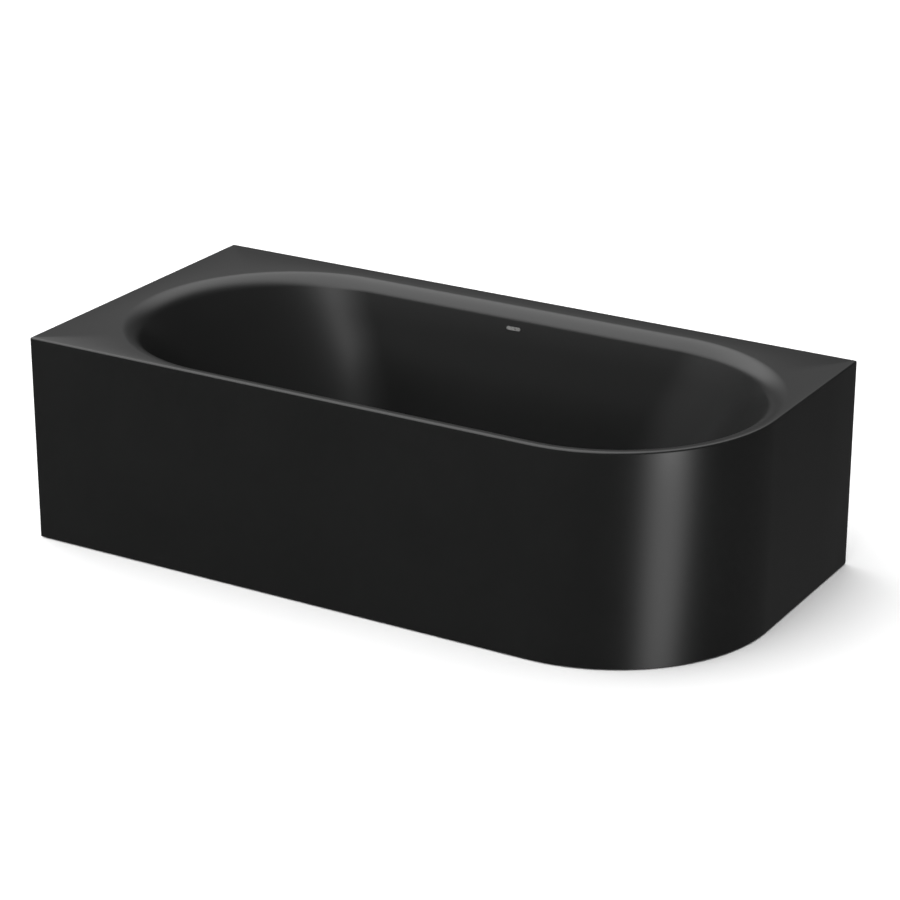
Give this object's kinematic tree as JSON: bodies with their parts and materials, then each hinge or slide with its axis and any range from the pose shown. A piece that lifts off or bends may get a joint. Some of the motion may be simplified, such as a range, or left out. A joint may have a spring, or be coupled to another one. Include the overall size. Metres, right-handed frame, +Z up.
{
  "type": "corner bathtub",
  "caption": "Matte black built-in bath with one large rounded corner, wrap-round apron, soft-rolled oval basin, levelling feet, lifting waste and overflow control.",
  "frame": {"origin": "centre of the footprint, on the floor under the feet", "axes": "+Z up, +X along the length towards the rounded end, -Y towards the room side of the apron"},
  "size_m": [1.85, 0.9, 0.545],
  "materials": {
    "enamel_black": "matte vitreous enamel",
    "zinc_plate": "galvanised",
    "stainless": "satin",
    "rubber_black": "matte",
    "bitumen": "matte",
    "foam": "open foam",
    "white_plastic": "moulded",
    "grey_plastic": "moulded",
    "brass": "bare"
  },
  "bodies": {
    "bath": {"bath_shell": "enamel_black", "apron_panel": "enamel_black", "blank_plaque": "stainless", "apron_bond_strip": "zinc_plate", "corner_brackets": "zinc_plate", "spacer_blocks": "foam", "back_edge_angle": "zinc_plate", "left_edge_angle": "zinc_plate", "wall_anchors": "zinc_plate", "anchor_bolts": "stainless", "support_rail_left": "zinc_plate", "support_rail_right": "zinc_plate", "rail_pads": "rubber_black", "rail_nuts": "brass", "apron_stays": "zinc_plate", "stay_screws": "stainless", "floor_mats": "bitumen", "wall_mats": "bitumen", "earthing_lug": "brass", "earthing_bolt": "stainless", "waste_flange": "stainless", "waste_gasket_upper": "rubber_black", "waste_gasket_lower": "rubber_black", "waste_body": "white_plastic", "trap_body": "white_plastic", "trap_inlet_nut": "white_plastic", "trap_cap": "grey_plastic", "trap_outlet_nut": "white_plastic", "drain_pipe": "grey_plastic", "overflow_plate": "stainless", "overflow_gasket_front": "rubber_black", "overflow_gasket_back": "rubber_black", "overflow_body": "white_plastic", "overflow_screws": "stainless", "overflow_hose": "grey_plastic", "hose_clamps": "stainless", "control_cable": "rubber_black", "cable_clips": "white_plastic"},
    "knob": {"overflow_knob": "enamel_black", "control_spindle": "stainless"},
    "rack": {"rack_slider": "brass"},
    "lifter": {"lift_pin": "stainless"},
    "plug": {"waste_cover": "enamel_black", "plug_seal": "rubber_black", "plug_stem": "stainless"},
    "foot_front_left": {"foot_pad_front_left": "rubber_black"},
    "stud_front_left": {"foot_stud_front_left": "stainless", "lock_nut_front_left": "zinc_plate"},
    "foot_front_right": {"foot_pad_front_right": "rubber_black"},
    "stud_front_right": {"foot_stud_front_right": "stainless", "lock_nut_front_right": "zinc_plate"},
    "foot_back_left": {"foot_pad_back_left": "rubber_black"},
    "stud_back_left": {"foot_stud_back_left": "stainless", "lock_nut_back_left": "zinc_plate"},
    "foot_back_right": {"foot_pad_back_right": "rubber_black"},
    "stud_back_right": {"foot_stud_back_right": "stainless", "lock_nut_back_right": "zinc_plate"}
  },
  "joints": [
    {"name": "knob_turn", "type": "hinge", "parent": "bath", "child": "knob", "pos_m": [0.03, -0.39312, 0.465], "axis": [0, 0.9816, 0.1908], "range_deg": [0, 90]},
    {"name": "rack_slide", "type": "slide", "parent": "bath", "child": "rack", "axis": [0, 0.1908, -0.9816], "range_m": [0, 0.01131]},
    {"name": "pin_lift", "type": "slide", "parent": "bath", "child": "lifter", "axis": [0, 0, 1], "range_m": [0, 0.01131]},
    {"name": "plug_lift_out", "type": "slide", "parent": "lifter", "child": "plug", "axis": [0, 0, 1], "range_m": [0, 0.06]},
    {"name": "foot_front_left_extend", "type": "slide", "parent": "bath", "child": "foot_front_left", "axis": [0, 0, -1], "range_m": [0, 0.02]},
    {"name": "stud_front_left_turn", "type": "hinge", "parent": "foot_front_left", "child": "stud_front_left", "pos_m": [-0.35, -0.294, 0], "axis": [0, 0, -1], "range_deg": [0, 4800]},
    {"name": "foot_front_right_extend", "type": "slide", "parent": "bath", "child": "foot_front_right", "axis": [0, 0, -1], "range_m": [0, 0.02]},
    {"name": "stud_front_right_turn", "type": "hinge", "parent": "foot_front_right", "child": "stud_front_right", "pos_m": [0.41, -0.294, 0], "axis": [0, 0, -1], "range_deg": [0, 4800]},
    {"name": "foot_back_left_extend", "type": "slide", "parent": "bath", "child": "foot_back_left", "axis": [0, 0, -1], "range_m": [0, 0.02]},
    {"name": "stud_back_left_turn", "type": "hinge", "parent": "foot_back_left", "child": "stud_back_left", "pos_m": [-0.35, 0.246, 0], "axis": [0, 0, -1], "range_deg": [0, 4800]},
    {"name": "foot_back_right_extend", "type": "slide", "parent": "bath", "child": "foot_back_right", "axis": [0, 0, -1], "range_m": [0, 0.02]},
    {"name": "stud_back_right_turn", "type": "hinge", "parent": "foot_back_right", "child": "stud_back_right", "pos_m": [0.41, 0.246, 0], "axis": [0, 0, -1], "range_deg": [0, 4800]}
  ],
  "couplings": [
    {"joint": "rack_slide", "follows": "knob_turn", "m_per_rad": 0.0072},
    {"joint": "pin_lift", "follows": "knob_turn", "m_per_rad": 0.0072},
    {"joint": "stud_front_left_turn", "follows": "foot_front_left_extend", "rad_per_m": 4188.8},
    {"joint": "stud_front_right_turn", "follows": "foot_front_right_extend", "rad_per_m": 4188.8},
    {"joint": "stud_back_left_turn", "follows": "foot_back_left_extend", "rad_per_m": 4188.8},
    {"joint": "stud_back_right_turn", "follows": "foot_back_right_extend", "rad_per_m": 4188.8}
  ]
}
